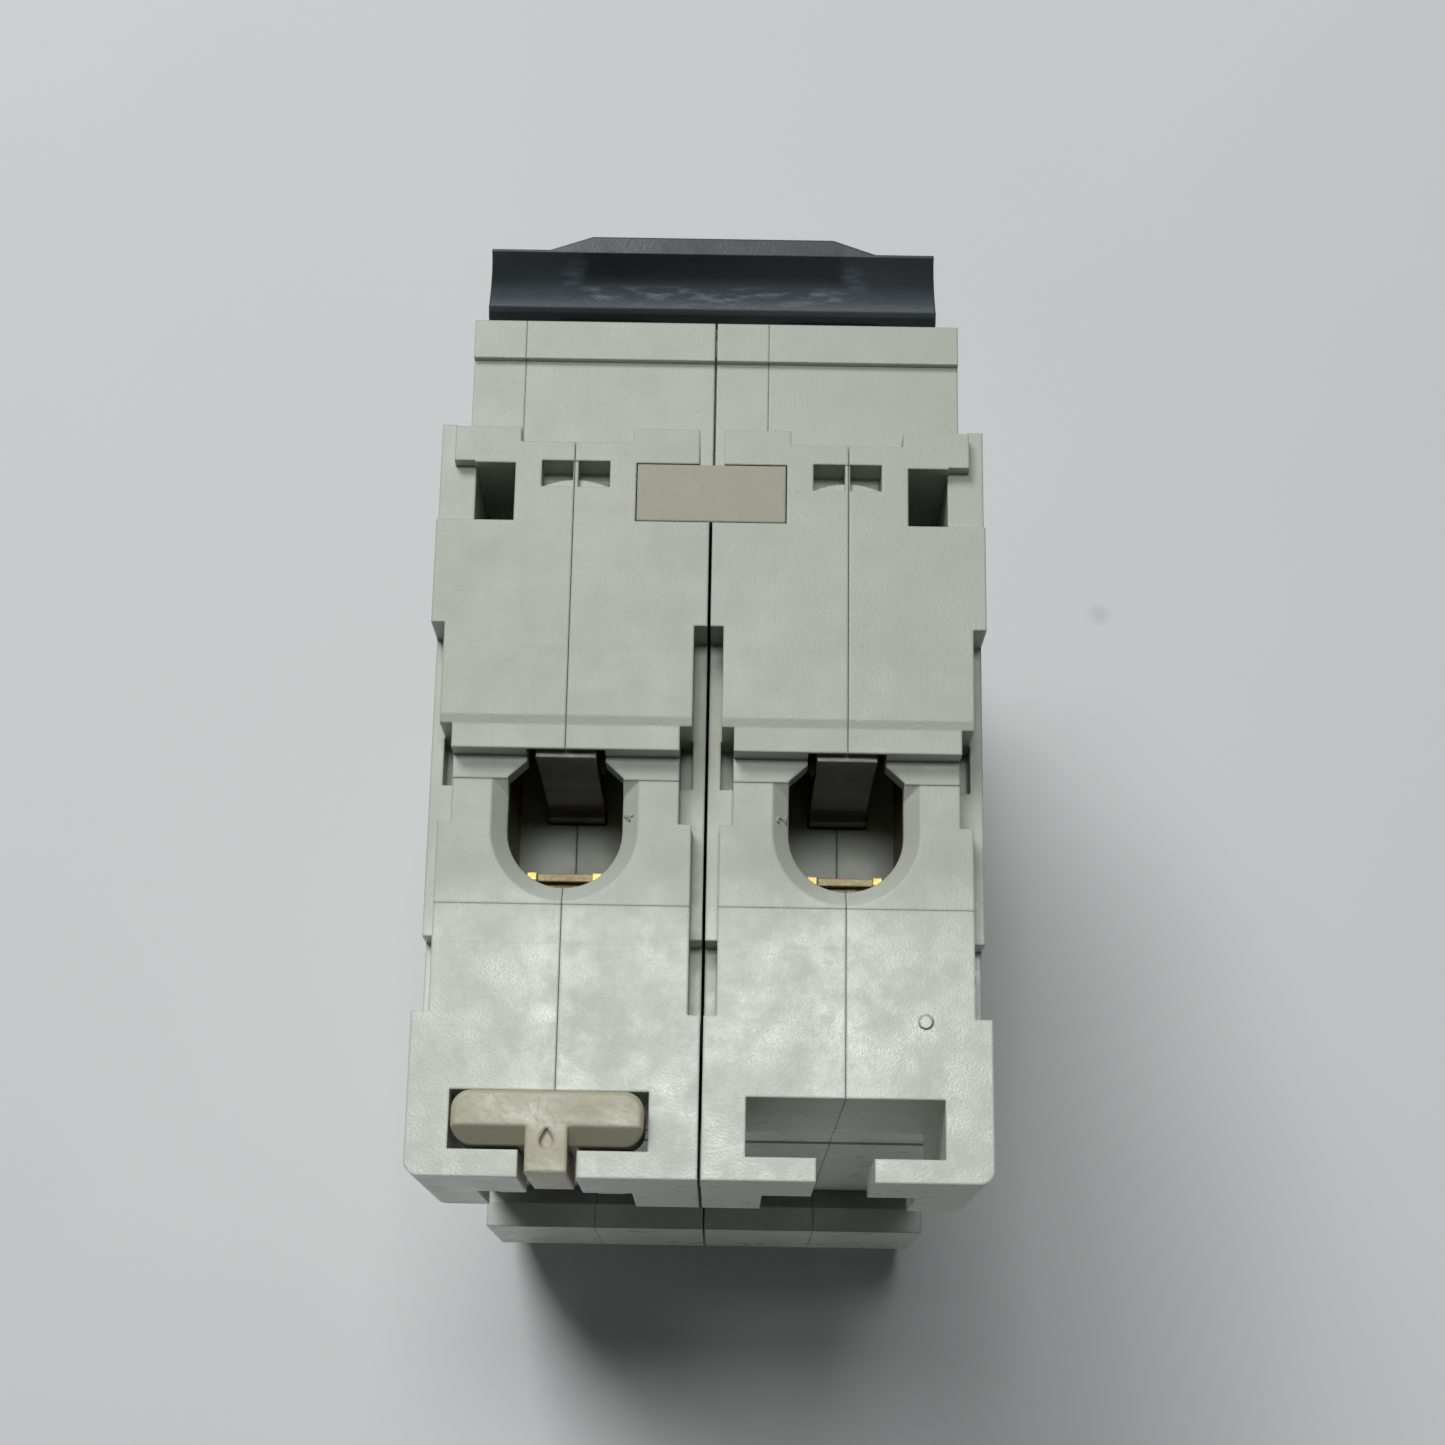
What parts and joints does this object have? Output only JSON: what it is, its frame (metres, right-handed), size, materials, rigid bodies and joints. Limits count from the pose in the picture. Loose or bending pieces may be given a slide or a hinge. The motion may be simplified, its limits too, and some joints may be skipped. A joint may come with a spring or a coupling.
{
  "type": "residual-current circuit breaker",
  "caption": "Rail-mounted residual-current circuit breaker with linked toggle bar, lift-clamp terminals and a sliding rail latch.",
  "frame": {"origin": "centre of the rail seat, midway between the two modules", "axes": "+Y towards the mounting rail, -Y towards the front with the toggle, +Z towards the end with the rail latch (usually the lower end once mounted), +X towards the module that carries the latch"},
  "size_m": [0.0357, 0.0754, 0.08],
  "materials": {
    "housing_grey": "semi-matt moulded",
    "beige_plastic": "satin moulded",
    "toggle_dark": "satin moulded",
    "passivated_steel": "yellow passivated",
    "zinc_steel": "zinc plated",
    "tinned_copper": "tin plated",
    "copper": "bare, slightly dull",
    "silver_contact": "satin",
    "fibre": "pressed fibre",
    "black_plastic": "matt moulded",
    "core_ferrite": "powder coated",
    "board_green": "laminate with solder mask",
    "clear_window": "clear moulded",
    "flag_green": "satin moulded",
    "button_plastic": "satin moulded",
    "label_white": "matt printed film"
  },
  "bodies": {
    "housing": {"housing_a_outer": "housing_grey", "housing_a_inner": "housing_grey", "housing_b_outer": "housing_grey", "housing_b_inner": "housing_grey", "pole_clip_latch_end": "beige_plastic", "pole_clip_hook_end": "beige_plastic", "toggle_pin_a": "zinc_steel", "toggle_pin_b": "zinc_steel", "arm_pin_a": "zinc_steel", "arm_pin_b": "zinc_steel", "trip_lever_pin": "zinc_steel", "coil_yoke": "zinc_steel", "arc_chute_plates": "zinc_steel", "rivets_a": "zinc_steel", "rivets_b": "zinc_steel", "bimetal_strip": "zinc_steel", "busbar_a_latch_end": "tinned_copper", "busbar_a_hook_end": "tinned_copper", "busbar_b_latch_end": "tinned_copper", "busbar_b_hook_end": "tinned_copper", "fixed_contact_a": "copper", "fixed_contact_b": "copper", "trip_coil": "copper", "primary_conductor": "copper", "secondary_winding": "copper", "test_contact": "copper", "arc_chute_cheek_inner": "fibre", "arc_chute_cheek_outer": "fibre", "coil_bobbin": "black_plastic", "trip_relay": "black_plastic", "test_resistor": "black_plastic", "summation_core": "core_ferrite", "circuit_board": "board_green", "status_window": "clear_window", "label_plate_a": "label_white", "label_plate_b": "label_white"},
    "toggle": {"toggle_bar": "toggle_dark", "toggle_lever_a": "toggle_dark", "toggle_lever_b": "toggle_dark"},
    "contact_arm_a": {"contact_arm_a": "copper", "moving_contact_a": "silver_contact"},
    "contact_arm_b": {"contact_arm_b": "copper", "moving_contact_b": "silver_contact"},
    "trip_lever": {"trip_lever": "black_plastic"},
    "coil_plunger": {"coil_plunger": "zinc_steel"},
    "test_button": {"test_button": "button_plastic"},
    "status_flag": {"status_flag": "flag_green"},
    "rail_latch": {"rail_latch": "beige_plastic"},
    "screw_a_latch_end": {"screw_a_latch_end": "zinc_steel"},
    "cage_a_latch_end": {"cage_a_latch_end": "passivated_steel"},
    "screw_a_hook_end": {"screw_a_hook_end": "zinc_steel"},
    "cage_a_hook_end": {"cage_a_hook_end": "passivated_steel"},
    "screw_b_latch_end": {"screw_b_latch_end": "zinc_steel"},
    "cage_b_latch_end": {"cage_b_latch_end": "passivated_steel"},
    "screw_b_hook_end": {"screw_b_hook_end": "zinc_steel"},
    "cage_b_hook_end": {"cage_b_hook_end": "passivated_steel"}
  },
  "joints": [
    {"name": "toggle_pivot", "type": "hinge", "parent": "housing", "child": "toggle", "pos_m": [0, -0.054, 0], "axis": [1, 0, 0], "range_deg": [0, 84]},
    {"name": "contact_a_pivot", "type": "hinge", "parent": "housing", "child": "contact_arm_a", "pos_m": [0.00883, -0.034, -0.004], "axis": [1, 0, 0], "range_deg": [-16, 0]},
    {"name": "contact_b_pivot", "type": "hinge", "parent": "housing", "child": "contact_arm_b", "pos_m": [-0.00883, -0.034, -0.004], "axis": [1, 0, 0], "range_deg": [-16, 0]},
    {"name": "trip_lever_pivot", "type": "hinge", "parent": "housing", "child": "trip_lever", "pos_m": [0.00883, -0.042, -0.012], "axis": [1, 0, 0], "range_deg": [-8, 0], "stiffness_Nm_per_rad": 0.004, "springref_deg": 8.59},
    {"name": "plunger_slide", "type": "slide", "parent": "housing", "child": "coil_plunger", "axis": [0, 0, 1], "range_m": [0, 0.003], "stiffness_N_per_m": 60, "springref_m": -0.002},
    {"name": "test_button_slide", "type": "slide", "parent": "housing", "child": "test_button", "axis": [0, 1, 0], "range_m": [0, 0.001], "stiffness_N_per_m": 400, "springref_m": -0.0015},
    {"name": "status_flag_slide", "type": "slide", "parent": "housing", "child": "status_flag", "axis": [0, 0, 1], "range_m": [0, 0.0025]},
    {"name": "rail_latch_slide", "type": "slide", "parent": "housing", "child": "rail_latch", "axis": [0, 0, 1], "range_m": [0, 0.003], "stiffness_N_per_m": 900, "springref_m": -0.002},
    {"name": "screw_a_latch_end_turn", "type": "hinge", "parent": "housing", "child": "screw_a_latch_end", "pos_m": [0.00883, -0.038, 0.031], "axis": [0, 1, 0], "range_deg": [0, 2480]},
    {"name": "cage_a_latch_end_slide", "type": "slide", "parent": "housing", "child": "cage_a_latch_end", "axis": [0, -1, 0], "range_m": [0, 0.0055]},
    {"name": "screw_a_hook_end_turn", "type": "hinge", "parent": "housing", "child": "screw_a_hook_end", "pos_m": [0.00883, -0.038, -0.031], "axis": [0, 1, 0], "range_deg": [0, 2480]},
    {"name": "cage_a_hook_end_slide", "type": "slide", "parent": "housing", "child": "cage_a_hook_end", "axis": [0, -1, 0], "range_m": [0, 0.0055]},
    {"name": "screw_b_latch_end_turn", "type": "hinge", "parent": "housing", "child": "screw_b_latch_end", "pos_m": [-0.00883, -0.038, 0.031], "axis": [0, 1, 0], "range_deg": [0, 2480]},
    {"name": "cage_b_latch_end_slide", "type": "slide", "parent": "housing", "child": "cage_b_latch_end", "axis": [0, -1, 0], "range_m": [0, 0.0055]},
    {"name": "screw_b_hook_end_turn", "type": "hinge", "parent": "housing", "child": "screw_b_hook_end", "pos_m": [-0.00883, -0.038, -0.031], "axis": [0, 1, 0], "range_deg": [0, 2480]},
    {"name": "cage_b_hook_end_slide", "type": "slide", "parent": "housing", "child": "cage_b_hook_end", "axis": [0, -1, 0], "range_m": [0, 0.0055]}
  ],
  "couplings": [
    {"joint": "contact_a_pivot", "follows": "toggle_pivot", "ratio": -0.1845},
    {"joint": "contact_b_pivot", "follows": "toggle_pivot", "ratio": -0.1845},
    {"joint": "status_flag_slide", "follows": "toggle_pivot", "m_per_rad": 0.0015688},
    {"joint": "screw_a_latch_end_turn", "follows": "cage_a_latch_end_slide", "rad_per_m": 7854},
    {"joint": "screw_a_hook_end_turn", "follows": "cage_a_hook_end_slide", "rad_per_m": 7854},
    {"joint": "screw_b_latch_end_turn", "follows": "cage_b_latch_end_slide", "rad_per_m": 7854},
    {"joint": "screw_b_hook_end_turn", "follows": "cage_b_hook_end_slide", "rad_per_m": 7854}
  ]
}
